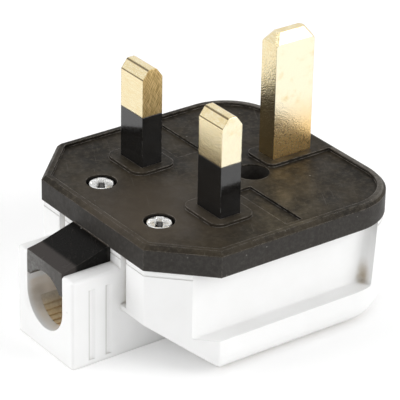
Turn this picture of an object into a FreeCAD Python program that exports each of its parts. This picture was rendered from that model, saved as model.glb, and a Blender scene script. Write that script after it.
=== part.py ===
import FreeCAD, Part
import math
import os
import re

import Sketcher
from FreeCAD import Vector

# A rewirable three-pin mains plug that rests on its back with the pins up.
# The origin lies on the back face, behind the midpoint of the two line pins.
# +Z runs along the pins, +Y towards the earth pin and +X towards the neutral pin.
SIZES = {
    # Pin plate of the base
    "body_depth": 23.4,
    "plate_depth": 4.5,
    "plate_width": 47.8,
    "cord_end": 17.66,
    "corner_cut": 9.0,
    "corner_round": 10.5,
    "edge_bevel": 0.7,
    "rim_width": 1.5,
    "floor_depth": 0.55,
    "line_pad_length": 10.0,
    "line_pad_width": 8.3,
    "line_pad_round": 2.0,
    "earth_pad_width": 7.2,
    "earth_pad_margin": 1.8,
    "earth_pad_round": 1.5,
    "panel_depth": 0.45,
    "neutral_panel_length": 14.0,
    "neutral_panel_height": 3.2,
    "neutral_panel_edge": 1.5,
    "neutral_panel_gap": 2.35,
    "live_panel_length": 12.0,
    "live_panel_height": 5.2,
    "live_panel_edge": 1.8,
    "live_panel_gap": 1.75,
    # Pins and their sleeves
    "pin_pitch": 22.23,
    "earth_reach": 22.23,
    "line_pin_width": 6.35,
    "line_pin_thickness": 4.0,
    "line_pin_length": 17.7,
    "line_tip_height": 1.67,
    "line_tip_flat": 1.54,
    "line_tip_round": 0.5,
    "earth_pin_thickness": 4.0,
    "earth_pin_width": 8.0,
    "earth_pin_length": 22.73,
    "earth_tip_height": 1.65,
    "earth_tip_inset_x": 1.25,
    "earth_tip_inset_y": 1.05,
    "earth_tip_facet": 0.4,
    "pin_clearance": 0.05,
    "sleeve_length": 9.2,
    "sleeve_wall": 0.5,
    "sleeve_sink": 1.5,
    # Terminals on the inner ends of the pins
    "terminal_depth": 9.0,
    "terminal_margin": 1.4,
    "earth_terminal_margin": 0.35,
    "earth_terminal_gap": 1.77,
    "wire_hole": 3.2,
    "wire_hole_drop": 4.6,
    "terminal_screw": 3.8,
    "screw_clearance": 0.1,
    "terminal_screw_gap": 0.4,
    "terminal_head_height": 1.6,
    "terminal_head": 4.6,
    "slot_width": 0.8,
    "slot_depth": 0.7,
    "live_head_depth": 2.0,
    "live_post_depth": 4.6,
    "live_post_gap": 0.35,
    # Cartridge fuse and its clips
    "fuse_length": 25.4,
    "fuse_diameter": 6.3,
    "fuse_cap_length": 5.6,
    "fuse_cap_wall": 0.3,
    "fuse_fit": 0.05,
    "clip_thickness": 0.6,
    "clip_length": 4.8,
    "clip_reach": 1.6,
    "fuse_end_gap": 0.8,
    # Cord grip
    "grip_screw_x": 8.4,
    "grip_screw_y": 9.95,
    "grip_head": 4.55,
    "grip_head_room": 0.37,
    "grip_head_height": 1.8,
    "grip_head_sink": 0.6,
    "grip_shank": 3.0,
    "grip_post": 6.6,
    "grip_post_depth": 5.0,
    "grip_bar_width": 4.5,
    "grip_bar_thickness": 2.2,
    "grip_bar_room": 0.98,
    "grip_bar_end": 3.4,
    "grip_saddle_width": 4.8,
    "grip_dip_half": 2.9,
    "grip_saddle_floor": 4.0,
    "cross_width": 0.9,
    "cross_length": 2.9,
    "cross_depth": 1.0,
    # Cover screw with its tube, retainer and insert
    "cover_screw_x": 2.9,
    "cover_screw_head": 5.4,
    "cover_screw_room": 0.2,
    "cover_screw_head_height": 2.4,
    "cover_screw_shank": 3.5,
    "cover_screw_tip": 4.9,
    "screw_tube_wall": 1.3,
    "screw_tube_gap": 0.48,
    "screw_seat": 12.5,
    "screw_tube_end": 10.2,
    "retainer_diameter": 6.2,
    "retainer_thickness": 0.7,
    "insert_diameter": 5.0,
    "insert_length": 6.0,
    "insert_fit": 0.05,
    "boss_wall": 1.4,
    "boss_gap": 0.1,
    # Cover
    "cover_inset": 0.25,
    "cover_corner_round": 0.6,
    "cover_wall": 2.0,
    "cover_floor": 2.2,
    "lip_height": 0.9,
    "lip_groove_width": 0.25,
    "lip_groove_depth": 0.12,
    "cavity_round": 5.0,
    "recess_inset": 3.5,
    "recess_margin": 5.95,
    "recess_draft": 1.25,
    "recess_foot_round": 0.5,
    "recess_end_round": 1.0,
    "flange_height": 7.0,
    "back_round": 4.5,
    "shoulder_rise": 8.7,
    "shoulder_run": 11.7,
    "rib_height": 1.5,
    "rib_width": 1.2,
    "rib_length": 28.0,
    "rib_start": 8.0,
    "rib_clearance": 0.1,
    # Cable outlet
    "outlet_width": 16.4,
    "outlet_end": 26.8,
    "outlet_height": 16.2,
    "outlet_round": 0.5,
    "cable_hole": 10.5,
    "cable_axis": 9.4,
    "groove_width": 1.3,
    "groove_flat": 0.4,
    "groove_depth": 0.3,
    "groove_foot": 0.9,
    "groove_top": 14.0,
    "groove_pitch": 3.3,
    "groove_offset": 3.8,
    "side_slot_width": 1.6,
    "side_slot_depth": 1.2,
    "side_slot_foot": 9.5,
    "liner_start": 2.3,
    "liner_thickness": 0.8,
    "liner_drop": 2.0,
    "liner_end_gap": 0.6,
    "liner_fit": 0.05,
    "liner_notch_width": 0.35,
    "liner_notch_depth": 0.3,
    "liner_notch_angle": 12.0,
    "tongue_clearance": 0.1,
    "tongue_foot": 12.4,
    "tongue_root": 4.6,
    "tongue_top": 0.2,
    "tongue_break": 17.2,
    "tongue_tip": 16.7,
    "tongue_lip": 2.7,
}

# Places that several sub-parts share, as formulas of the sizes
HALF_WIDTH = "plate_width / 2"
PARTING = "(body_depth - plate_depth)"
PIN_X = "pin_pitch / 2"
BEVEL_SHIFT = "tan(22.5 deg)"
CAVITY_X = f"({HALF_WIDTH} - recess_inset - cover_wall)"
LIVE_HEAD_FOOT = f"({PARTING} - live_head_depth)"
FUSE_AXIS = f"({LIVE_HEAD_FOOT} - clip_thickness - fuse_fit - fuse_diameter / 2)"
FUSE_START = "(-fuse_cap_length / 2)"
FUSE_END = "(fuse_length - fuse_cap_length / 2)"
GRIP_HEAD_TOP = "(body_depth - grip_head_sink)"
GRIP_HEAD_HOLE = "(grip_head + 2 * grip_head_room)"
TERMINAL_FOOT = f"({PARTING} - terminal_depth)"
LIVE_POST_START = f"({FUSE_END} + fuse_end_gap)"
LIVE_POST_MIDDLE = f"({LIVE_POST_START} + live_post_depth / 2)"
EARTH_TERMINAL_HALF = "(earth_pin_width / 2 + earth_terminal_margin)"
COVER_SCREW_HOLE = "(cover_screw_head + 2 * cover_screw_room)"
SCREW_TUBE = f"({COVER_SCREW_HOLE} + 2 * screw_tube_wall)"
COVER_SCREW_Y = f"(earth_reach - {EARTH_TERMINAL_HALF} - screw_tube_gap - {SCREW_TUBE} / 2)"

# The hollow of the cover, long enough for the earth terminal and for the live one past the fuse
EARTH_ROW_END = f"earth_reach + {EARTH_TERMINAL_HALF} + earth_terminal_gap"
LIVE_ROW_END = f"{LIVE_POST_MIDDLE} + max(live_post_depth; terminal_head) / 2 + live_post_gap"
CAVITY_EARTH = f"max({EARTH_ROW_END}; {LIVE_ROW_END})"
CAVITY_CORD = "(cord_end - cover_inset - cover_wall)"
EARTH_END = f"({CAVITY_EARTH} + cover_wall + cover_inset)"
SHOULDER_FOOT = "(-cord_end + cover_inset + shoulder_run)"
SHOULDER_SLOPE = "(shoulder_rise / shoulder_run)"
SHOULDER_WALL = f"(cover_wall * sqrt(1 + {SHOULDER_SLOPE}^2))"
CAVITY_FRONT = f"(shoulder_rise + {SHOULDER_WALL} - cover_wall * {SHOULDER_SLOPE})"
BAR_FRONT_GAP = f"({CAVITY_CORD} - grip_screw_y - grip_bar_width / 2)"
GRIP_BAR_FOOT = f"({CAVITY_FRONT} - {BAR_FRONT_GAP} * {SHOULDER_SLOPE} + grip_bar_room)"

# The ribbed liner of the cable outlet
LINER_START = "(-outlet_end + liner_start)"
LINER_ROOM = f"(outlet_end - liner_start - {CAVITY_CORD} - liner_end_gap)"
LINER_TOP = "cable_axis - liner_drop"
LINER_RADIUS = "(cable_hole / 2 + liner_thickness)"
LINER_NOTCH_STEPS = range(-4, 5)

# First radius of a sketch corner before its formula sets it, and the slack of a length test
STARTING_ROUND = 0.1
TOLERANCE = 1e-4

doc = FreeCAD.newDocument("three_pin_plug")
sheet = doc.addObject("Spreadsheet::Sheet", "Sizes")
for row, (alias, number) in enumerate(SIZES.items(), 1):
    sheet.set(f"A{row}", alias)
    sheet.set(f"B{row}", str(number))
    sheet.setAlias(f"B{row}", alias)
doc.recompute()


def bound(formula):
    """Writes the size names in a formula as references to the sheet."""
    def reference(word):
        return f"Sizes.{word[0]}" if word[0] in SIZES else word[0]

    return re.sub(r"[a-z][a-z_]+", reference, formula)


def new_body(label):
    return doc.addObject("PartDesign::Body", label)


def new_sketch(body, role, place="0"):
    """A sketch on one of the body's origin planes, moved to a place along that plane's axis."""
    sketch = body.newObject("Sketcher::SketchObject", f"{body.Name}_sketch")
    plane = next(item for item in body.Origin.OriginFeatures if item.Role == role)
    sketch.AttachmentSupport = [(plane, "")]
    sketch.MapMode = "FlatFace"
    along_normal = f"-({place})" if role == "XZ_Plane" else place
    sketch.setExpression("AttachmentOffset.Base.z", bound(along_normal))
    return sketch


def constrain(sketch, constraint, formula):
    index = sketch.addConstraint(constraint)
    sketch.setExpression(f"Constraints[{index}]", bound(formula))


def fix_point(sketch, geometry, point, x, y):
    constrain(sketch, Sketcher.Constraint("DistanceX", -1, 1, geometry, point, 1.0), x)
    constrain(sketch, Sketcher.Constraint("DistanceY", -1, 1, geometry, point, 1.0), y)


def polygon(sketch, corners, rounds=None):
    """A closed outline through corners given as formulas, with some corners rounded."""
    first = sketch.GeometryCount
    count = len(corners)
    turns = [2 * math.pi * index / count for index in range(count)]
    start = [Vector(math.cos(turn), math.sin(turn), 0) for turn in turns]
    for index in range(count):
        sketch.addGeometry(Part.LineSegment(start[index], start[(index + 1) % count]), False)
    for index in range(count):
        following = first + (index + 1) % count
        sketch.addConstraint(Sketcher.Constraint("Coincident", first + index, 2, following, 1))
    for index, (x, y) in enumerate(corners):
        fix_point(sketch, first + index, 1, x, y)
    doc.recompute()
    for index, radius in (rounds or {}).items():
        arc = sketch.GeometryCount
        sketch.fillet(first + index, 1, STARTING_ROUND, True, True)
        constrain(sketch, Sketcher.Constraint("Radius", arc, STARTING_ROUND), radius)
    doc.recompute()


def rectangle(sketch, low_x, high_x, low_y, high_y, radius=None):
    corners = [(low_x, low_y), (high_x, low_y), (high_x, high_y), (low_x, high_y)]
    polygon(sketch, corners, {index: radius for index in range(4)} if radius else None)


def circle(sketch, x, y, diameter):
    index = sketch.addGeometry(Part.Circle(Vector(0, 0, 0), Vector(0, 0, 1), 1.0), False)
    fix_point(sketch, index, 3, x, y)
    constrain(sketch, Sketcher.Constraint("Diameter", index, 2.0), diameter)
    doc.recompute()


def low_segment(sketch, x, y, radius, top):
    """The part of a disc below a level chord."""
    disc = Part.Circle(Vector(0, 0, 0), Vector(0, 0, 1), 1.0)
    arc = sketch.addGeometry(Part.ArcOfCircle(disc, math.pi, 2 * math.pi), False)
    chord = sketch.addGeometry(Part.LineSegment(Vector(1, 0, 0), Vector(-1, 0, 0)), False)
    sketch.addConstraint(Sketcher.Constraint("Coincident", arc, 2, chord, 1))
    sketch.addConstraint(Sketcher.Constraint("Coincident", chord, 2, arc, 1))
    sketch.addConstraint(Sketcher.Constraint("Horizontal", chord))
    fix_point(sketch, arc, 3, x, y)
    constrain(sketch, Sketcher.Constraint("Radius", arc, 1.0), radius)
    constrain(sketch, Sketcher.Constraint("DistanceY", -1, 1, chord, 1, 1.0), top)
    doc.recompute()


def extrude(kind, sketch, length, symmetric, flipped):
    body = sketch.getParentGeoFeatureGroup()
    feature = body.newObject(f"PartDesign::{kind}", f"{body.Name}_{kind.lower()}")
    feature.Profile = sketch
    feature.setExpression("Length", bound(length))
    feature.SideType = "Symmetric" if symmetric else "One side"
    feature.Reversed = flipped
    doc.recompute()
    return feature


def pad(sketch, length, symmetric=False, flipped=False):
    return extrude("Pad", sketch, length, symmetric, flipped)


def pocket(sketch, length, symmetric=False, flipped=False):
    """Cuts into the body, and stops if the cut took nothing away."""
    body = sketch.getParentGeoFeatureGroup()
    before = body.Tip.Shape.Volume
    feature = extrude("Pocket", sketch, length, symmetric, flipped)
    if feature.Shape.Volume > before - TOLERANCE:
        raise ValueError(f"{feature.Name} cuts nothing")
    return feature


def dress(kind, body, size, chosen):
    """A fillet or chamfer on the edges of the body that a test picks."""
    base = body.Tip
    names = [f"Edge{number}" for number, edge in enumerate(base.Shape.Edges, 1) if chosen(edge)]
    if not names:
        raise ValueError(f"no edge of {body.Name} to dress")
    feature = body.newObject(f"PartDesign::{kind}", f"{body.Name}_{kind.lower()}")
    feature.Base = (base, names)
    feature.setExpression("Radius" if kind == "Fillet" else "Size", bound(size))
    doc.recompute()
    return feature


def near(first, second):
    return abs(first - second) < TOLERANCE


def level(edge, height):
    """Whether an edge lies flat at a height."""
    return near(edge.BoundBox.ZMin, height) and near(edge.BoundBox.ZMax, height)


def upright(edge):
    box = edge.BoundBox
    return box.XLength < TOLERANCE and box.YLength < TOLERANCE


def plate_outline(sketch, inset, cut_round=None):
    """The plan outline of base and cover: cut corners at the cord end, round ones at the earth end."""
    half = f"({HALF_WIDTH} - {inset})"
    shift = f"{inset} * {BEVEL_SHIFT}"
    side = f"-cord_end + corner_cut + {shift}"
    front = f"({HALF_WIDTH} - corner_cut - {shift})"
    corners = [
        (half, side),
        (half, f"{EARTH_END} - {inset}"),
        (f"-{half}", f"{EARTH_END} - {inset}"),
        (f"-{half}", side),
        (f"-{front}", f"-cord_end + {inset}"),
        (front, f"-cord_end + {inset}"),
    ]
    earth_round = f"corner_round - {inset}"
    cut_rounds = {index: cut_round for index in (0, 3, 4, 5)} if cut_round else {}
    polygon(sketch, corners, {1: earth_round, 2: earth_round, **cut_rounds})


def block(x, y, length, width, low, high):
    """An upright block centred on a place in plan."""
    solid = doc.addObject("Part::Box", "block")
    solid.setExpression("Length", bound(length))
    solid.setExpression("Width", bound(width))
    solid.setExpression("Height", bound(f"({high}) - ({low})"))
    for axis, place in zip("xyz", (f"{x} - ({length}) / 2", f"{y} - ({width}) / 2", low)):
        solid.setExpression(f"Placement.Base.{axis}", bound(place))
    return solid


def cylinder(diameter, x, y, low, high):
    """An upright cylinder about a place in plan."""
    solid = doc.addObject("Part::Cylinder", "round")
    solid.setExpression("Radius", bound(f"({diameter}) / 2"))
    solid.setExpression("Height", bound(f"({high}) - ({low})"))
    for axis, place in zip("xyz", (x, y, low)):
        solid.setExpression(f"Placement.Base.{axis}", bound(place))
    return solid


def fuse(*solids):
    joined = doc.addObject("Part::MultiFuse", "joined")
    joined.Shapes = list(solids)
    joined.Refine = True
    return joined


def cut(base, *tools):
    result = doc.addObject("Part::Cut", "cut")
    result.Base = base
    result.Tool = fuse(*tools) if len(tools) > 1 else tools[0]
    return result


def group(label, solids):
    """Several loose solids kept as one node."""
    together = doc.addObject("Part::Compound", label)
    together.Links = solids
    return together


def make_floor(body):
    """The sunk floor of the pin face, which leaves the rim and the three pin pads standing."""
    floor = new_sketch(body, "XY_Plane", "body_depth")
    half = f"({HALF_WIDTH} - rim_width)"
    shift = f"rim_width * {BEVEL_SHIFT}"
    front = f"({HALF_WIDTH} - corner_cut - {shift})"
    side = f"-cord_end + corner_cut + {shift}"
    end = f"{EARTH_END} - rim_width"
    pad_half = "earth_pad_width / 2"
    pad_start = "earth_reach - earth_pin_width / 2 - earth_pad_margin"
    corners = [
        (half, side),
        (half, end),
        (pad_half, end),
        (pad_half, pad_start),
        (f"-{pad_half}", pad_start),
        (f"-{pad_half}", end),
        (f"-{half}", end),
        (f"-{half}", side),
        (f"-{front}", "-cord_end + rim_width"),
        (front, "-cord_end + rim_width"),
    ]
    inner_round = "corner_round - rim_width"
    polygon(floor, corners, {1: inner_round, 3: "earth_pad_round", 4: "earth_pad_round", 6: inner_round})
    for sign in ("", "-"):
        centre = f"{sign}{PIN_X}"
        rectangle(
            floor,
            f"{centre} - line_pad_length / 2",
            f"{centre} + line_pad_length / 2",
            "-line_pad_width / 2",
            "line_pad_width / 2",
            "line_pad_round",
        )
    pocket(floor, "floor_depth")


def make_panels(body):
    """A shallow blank panel beside each line pad, sunk in the floor."""
    panels = new_sketch(body, "XY_Plane", "body_depth - floor_depth")
    for side, sign in (("neutral", ""), ("live", "-")):
        outer = f"({HALF_WIDTH} - rim_width - {side}_panel_edge)"
        inner = f"({outer} - {side}_panel_length)"
        start = f"line_pad_width / 2 + {side}_panel_gap"
        rectangle(panels, f"{sign}{inner}", f"{sign}{outer}", start, f"{start} + {side}_panel_height")
    pocket(panels, "panel_depth")


def make_tongue(body):
    """The tongue that closes the top of the cable outlet, arched over the cable."""
    width = "cable_hole - 2 * tongue_clearance"
    profile = new_sketch(body, "YZ_Plane")
    corners = [
        ("-cord_end + tongue_root", "tongue_foot"),
        ("-cord_end + tongue_root", PARTING),
        ("-cord_end", f"{PARTING} + tongue_top"),
        ("-outlet_end + tongue_lip", "tongue_break"),
        ("-outlet_end", "tongue_tip"),
        ("-outlet_end", "tongue_foot"),
    ]
    polygon(profile, corners)
    pad(profile, width, symmetric=True)
    arch = new_sketch(body, "XZ_Plane", "-outlet_end")
    circle(arch, "0", "cable_axis", "cable_hole")
    pocket(arch, "outlet_end - cord_end + tongue_root")


def make_base():
    """The black moulding: pin plate, tongue, inner posts and ribs, with the holes for pins and screws."""
    body = new_body("base")
    outline = new_sketch(body, "XY_Plane", PARTING)
    plate_outline(outline, "0")
    pad(outline, "plate_depth")
    dress("Chamfer", body, "edge_bevel", lambda edge: level(edge, SIZES["body_depth"]))
    make_floor(body)
    make_panels(body)
    make_tongue(body)

    ribs = new_sketch(body, "XY_Plane", PARTING)
    outer = f"({CAVITY_X} - rib_clearance)"
    rectangle(ribs, f"{outer} - rib_width", outer, "-rib_start", "rib_length - rib_start")
    rectangle(ribs, f"-{outer}", f"-{outer} + rib_width", "-rib_start", "rib_length - rib_start")
    pad(ribs, "rib_height", flipped=True)

    posts = new_sketch(body, "XY_Plane", PARTING)
    circle(posts, "grip_screw_x", "-grip_screw_y", "grip_post")
    circle(posts, "-grip_screw_x", "-grip_screw_y", "grip_post")
    pad(posts, "grip_post_depth", flipped=True)
    saddle = new_sketch(body, "XY_Plane", PARTING)
    span = "(grip_screw_x - grip_shank)"
    rectangle(saddle, f"-{span}", span, "-grip_screw_y - rib_width", "-grip_screw_y + rib_width")
    pad(saddle, "grip_post_depth", flipped=True)
    tube = new_sketch(body, "XY_Plane", PARTING)
    circle(tube, "cover_screw_x", COVER_SCREW_Y, SCREW_TUBE)
    pad(tube, f"{PARTING} - screw_tube_end", flipped=True)

    heads = new_sketch(body, "XY_Plane", "body_depth")
    shanks = new_sketch(body, "XY_Plane", "body_depth")
    for sign in ("", "-"):
        circle(heads, f"{sign}grip_screw_x", "-grip_screw_y", GRIP_HEAD_HOLE)
        circle(shanks, f"{sign}grip_screw_x", "-grip_screw_y", "grip_shank + 2 * screw_clearance")
    pocket(heads, "grip_head_sink + grip_head_height")
    pocket(shanks, "plate_depth + grip_post_depth")

    well = new_sketch(body, "XY_Plane", "body_depth")
    circle(well, "cover_screw_x", COVER_SCREW_Y, COVER_SCREW_HOLE)
    pocket(well, "body_depth - screw_seat")
    passage = new_sketch(body, "XY_Plane", "body_depth")
    circle(passage, "cover_screw_x", COVER_SCREW_Y, "cover_screw_shank + 2 * screw_clearance")
    pocket(passage, "body_depth - screw_tube_end")
    seat = new_sketch(body, "XY_Plane", "screw_tube_end")
    circle(seat, "cover_screw_x", COVER_SCREW_Y, "retainer_diameter + 2 * screw_clearance")
    pocket(seat, "retainer_thickness", flipped=True)

    slots = new_sketch(body, "XY_Plane", "body_depth")
    for sign in ("", "-"):
        centre = f"{sign}{PIN_X}"
        reach = "(line_pin_width / 2 + pin_clearance)"
        depth = "(line_pin_thickness / 2 + pin_clearance)"
        rectangle(slots, f"{centre} - {reach}", f"{centre} + {reach}", f"-{depth}", depth)
    reach = "(earth_pin_thickness / 2 + pin_clearance)"
    depth = "(earth_pin_width / 2 + pin_clearance)"
    rectangle(slots, f"-{reach}", reach, f"earth_reach - {depth}", f"earth_reach + {depth}")
    pocket(slots, "plate_depth")
    return body


def on_outlet_rim(edge):
    """Whether an edge bounds the top of the cable outlet or stands at one of its two outer corners."""
    bounds = edge.BoundBox
    if level(edge, SIZES["outlet_height"]):
        return bounds.YMin < -SIZES["cord_end"]
    return upright(edge) and near(bounds.YMin, -SIZES["outlet_end"])


def cut_finger_recesses(body):
    """The finger recess in each side of the cover, with a slanted end and its corners scooped out."""
    end = f"{EARTH_END} - recess_margin"
    corners = [
        ("-cord_end", "flange_height"),
        (f"{end} - recess_draft", "flange_height"),
        (end, PARTING),
        ("-cord_end", PARTING),
    ]
    for sign in ("", "-"):
        recess = new_sketch(body, "YZ_Plane", f"{sign}{HALF_WIDTH}")
        polygon(recess, corners)
        pocket(recess, "recess_inset", flipped=sign == "-")
    wall = SIZES["plate_width"] / 2 - SIZES["recess_inset"]

    def on_wall(edge):
        bounds = edge.BoundBox
        return near(abs(bounds.Center.x), wall) and bounds.XLength < TOLERANCE

    def at_end(edge):
        bounds = edge.BoundBox
        return on_wall(edge) and bounds.ZLength > TOLERANCE and bounds.Center.y > 0

    def at_foot(edge):
        return on_wall(edge) and level(edge, SIZES["flange_height"])

    dress("Fillet", body, "recess_end_round", at_end)
    dress("Fillet", body, "recess_foot_round", at_foot)


def cut_outlet_details(body):
    """The cable channel, the seat of its liner, and the grooves and slots beside the outlet."""
    channel = new_sketch(body, "XZ_Plane", "-outlet_end")
    half = "cable_hole / 2"
    length = "outlet_end - grip_screw_y"
    rectangle(channel, f"-{half}", half, "cable_axis", "body_depth")
    pocket(channel, length)
    trough = new_sketch(body, "XZ_Plane", "-outlet_end")
    circle(trough, "0", "cable_axis", "cable_hole")
    pocket(trough, length)
    seat = new_sketch(body, "XZ_Plane", LINER_START)
    low_segment(seat, "0", "cable_axis", f"{LINER_RADIUS} + liner_fit", LINER_TOP)
    pocket(seat, LINER_ROOM)

    grooves = new_sketch(body, "XY_Plane", "groove_top")
    slots = new_sketch(body, "XY_Plane", PARTING)
    outer = "outlet_width / 2"
    wall = "-cord_end + cover_inset"
    for sign in ("", "-"):
        for step in range(2):
            middle = f"-outlet_end + groove_offset + {step} * groove_pitch"
            inner = f"{sign}({outer} - groove_depth)"
            corners = [
                (f"{sign}{outer}", f"{middle} - groove_width / 2"),
                (f"{sign}{outer}", f"{middle} + groove_width / 2"),
                (inner, f"{middle} + groove_flat / 2"),
                (inner, f"{middle} - groove_flat / 2"),
            ]
            polygon(grooves, corners)
        far = f"{sign}({outer} + side_slot_width)"
        rectangle(slots, f"{sign}{outer}", far, wall, f"{wall} + side_slot_depth")
    pocket(grooves, "groove_top - groove_foot")
    pocket(slots, f"{PARTING} - side_slot_foot")


def hollow_cover(body):
    """The cavity: full in plan above the sloping shoulders, and sloped like them below."""
    cavity_foot = f"({SHOULDER_FOOT} + ({SHOULDER_WALL} - cover_floor) / {SHOULDER_SLOPE})"
    corner_sum = f"({HALF_WIDTH} + cord_end - corner_cut - (cover_inset + cover_wall) * sqrt(2))"
    front_half = f"({corner_sum} - {CAVITY_CORD})"

    upper = new_sketch(body, "XY_Plane", PARTING)
    corners = [
        (CAVITY_X, f"{CAVITY_X} - {corner_sum}"),
        (CAVITY_X, CAVITY_EARTH),
        (f"-{CAVITY_X}", CAVITY_EARTH),
        (f"-{CAVITY_X}", f"{CAVITY_X} - {corner_sum}"),
        (f"-{front_half}", f"-{CAVITY_CORD}"),
        (front_half, f"-{CAVITY_CORD}"),
    ]
    polygon(upper, corners, {1: "cavity_round", 2: "cavity_round"})
    pocket(upper, f"{PARTING} - {CAVITY_FRONT}")

    lower = new_sketch(body, "XY_Plane", CAVITY_FRONT)
    corners = [
        (CAVITY_X, cavity_foot),
        (CAVITY_X, CAVITY_EARTH),
        (f"-{CAVITY_X}", CAVITY_EARTH),
        (f"-{CAVITY_X}", cavity_foot),
    ]
    polygon(lower, corners, {1: "cavity_round", 2: "cavity_round"})
    pocket(lower, f"{CAVITY_FRONT} - cover_floor")

    sloped = new_sketch(body, "YZ_Plane")
    corners = [
        (f"-{CAVITY_CORD}", CAVITY_FRONT),
        (cavity_foot, "cover_floor"),
        (cavity_foot, CAVITY_FRONT),
    ]
    polygon(sloped, corners)
    pocket(sloped, f"2 * {front_half}", symmetric=True)


def make_cover():
    """The white moulding: a hollow shell with sloping shoulders, the cable outlet and the screw boss."""
    body = new_body("cover")
    outline = new_sketch(body, "XY_Plane")
    plate_outline(outline, "cover_inset", "cover_corner_round")
    pad(outline, PARTING)
    dress("Fillet", body, "back_round", lambda edge: level(edge, 0))

    shoulder = new_sketch(body, "YZ_Plane")
    front = "-cord_end - cover_wall"
    run_out = f"shoulder_rise + (cover_wall + cover_inset) * {SHOULDER_SLOPE}"
    corners = [
        (SHOULDER_FOOT, "0"),
        (front, run_out),
        (front, "-cover_wall"),
        (SHOULDER_FOOT, "-cover_wall"),
    ]
    polygon(shoulder, corners)
    pocket(shoulder, "2 * plate_width", symmetric=True)

    outlet = new_sketch(body, "XY_Plane")
    rectangle(outlet, "-outlet_width / 2", "outlet_width / 2", "-outlet_end", SHOULDER_FOOT)
    pad(outlet, "outlet_height")
    dress("Fillet", body, "outlet_round", on_outlet_rim)

    hollow_cover(body)

    trough = new_sketch(body, "XY_Plane", PARTING)
    half = "(grip_saddle_width + grip_bar_thickness / 2)"
    reach = "(grip_bar_width / 2 + cover_wall / 2)"
    rectangle(trough, f"-{half}", half, f"-grip_screw_y - {reach}", f"-grip_screw_y + {reach}")
    pocket(trough, f"{PARTING} - cover_floor")

    cut_finger_recesses(body)
    cut_outlet_details(body)

    groove = new_sketch(body, "XY_Plane", f"{PARTING} - lip_height")
    plate_outline(groove, "0")
    plate_outline(groove, "(cover_inset + lip_groove_depth)", "cover_corner_round")
    pocket(groove, "lip_groove_width")

    boss = new_sketch(body, "XY_Plane", "cover_floor")
    circle(boss, "cover_screw_x", COVER_SCREW_Y, "insert_diameter + 2 * boss_wall")
    pad(boss, "screw_tube_end - boss_gap - cover_floor")
    bore = new_sketch(body, "XY_Plane", "screw_tube_end - boss_gap")
    circle(bore, "cover_screw_x", COVER_SCREW_Y, "insert_diameter + 2 * insert_fit")
    pocket(bore, "insert_length")
    return body


def make_outlet_liner():
    """The liner in the floor of the cable outlet, with notches along the cable between its ribs."""
    body = new_body("outlet_liner")
    section = new_sketch(body, "XZ_Plane", LINER_START)
    low_segment(section, "0", "cable_axis", LINER_RADIUS, LINER_TOP)
    pad(section, f"{LINER_ROOM} - liner_fit", flipped=True)
    bore = new_sketch(body, "XZ_Plane", LINER_START)
    circle(bore, "0", "cable_axis", "cable_hole")
    pocket(bore, LINER_ROOM)
    notches = new_sketch(body, "XZ_Plane", LINER_START)
    near_radius = "(cable_hole / 2 - liner_notch_depth)"
    far_radius = "(cable_hole / 2 + liner_notch_depth)"
    for step in LINER_NOTCH_STEPS:
        sine = f"sin({step} * liner_notch_angle * 1 deg)"
        cosine = f"cos({step} * liner_notch_angle * 1 deg)"
        corners = []
        for radius, side in ((near_radius, "-"), (far_radius, "-"), (far_radius, "+"), (near_radius, "+")):
            across = f"{side} liner_notch_width / 2"
            x = f"{radius} * {sine} {across} * {cosine}"
            z = f"cable_axis - {radius} * {cosine} {across} * {sine}"
            corners.append((x, z))
        polygon(notches, corners)
    pocket(notches, LINER_ROOM)
    return body


def make_line_pin(label, side):
    """A line pin: flat tip bevelled on its broad sides, and a neck that its sleeve fills."""
    body = new_body(label)
    body.setExpression("Placement.Base.x", bound(f"{side}{PIN_X}"))
    profile = new_sketch(body, "YZ_Plane")
    half = "line_pin_thickness / 2"
    flat = "line_tip_flat / 2"
    top = "body_depth + line_pin_length"
    shoulder = f"{top} - line_tip_height"
    corners = [
        (half, PARTING),
        (half, shoulder),
        (flat, top),
        (f"-{flat}", top),
        (f"-{half}", shoulder),
        (f"-{half}", PARTING),
    ]
    rounds = {index: "line_tip_round" for index in (1, 2, 3, 4)}
    polygon(profile, corners, rounds)
    pad(profile, "line_pin_width", symmetric=True)
    neck = new_sketch(body, "XY_Plane", "body_depth + sleeve_length")
    wide = "line_pin_width"
    rectangle(neck, f"-{wide}", wide, f"-{wide}", wide)
    core_x = "(line_pin_width / 2 - sleeve_wall)"
    core_y = "(line_pin_thickness / 2 - sleeve_wall)"
    rectangle(neck, f"-{core_x}", core_x, f"-{core_y}", core_y)
    pocket(neck, "sleeve_length + sleeve_sink")
    return body


def add_terminal(body, low_x, high_x, low_y, high_y, wire_plane):
    """A brass block under the plate with a hole for the wire and a tapped hole for its screw."""
    block = new_sketch(body, "XY_Plane", PARTING)
    rectangle(block, low_x, high_x, low_y, high_y)
    pad(block, "terminal_depth", flipped=True)
    middle_x = f"(({low_x}) + ({high_x})) / 2"
    middle_y = f"(({low_y}) + ({high_y})) / 2"
    across, place = (middle_x, middle_y) if wire_plane == "XZ_Plane" else (middle_y, middle_x)
    wire = new_sketch(body, wire_plane, place)
    circle(wire, across, f"{PARTING} - wire_hole_drop", "wire_hole")
    pocket(wire, "2 * terminal_depth", symmetric=True)
    tapped = new_sketch(body, "XY_Plane", TERMINAL_FOOT)
    circle(tapped, middle_x, middle_y, "terminal_screw + 2 * screw_clearance")
    pocket(tapped, "terminal_depth - wire_hole_drop", flipped=True)


def line_head_box():
    """The plan box of the head on the inner end of a line pin."""
    reach = "(line_pin_width / 2 + terminal_margin)"
    depth = "(line_pin_thickness / 2 + terminal_margin)"
    return f"-{reach}", reach, f"-{depth}", depth


def make_neutral_pin():
    """The neutral pin with its wire terminal on its inner end."""
    body = make_line_pin("neutral_pin", "")
    add_terminal(body, *line_head_box(), "XZ_Plane")
    return body


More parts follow.
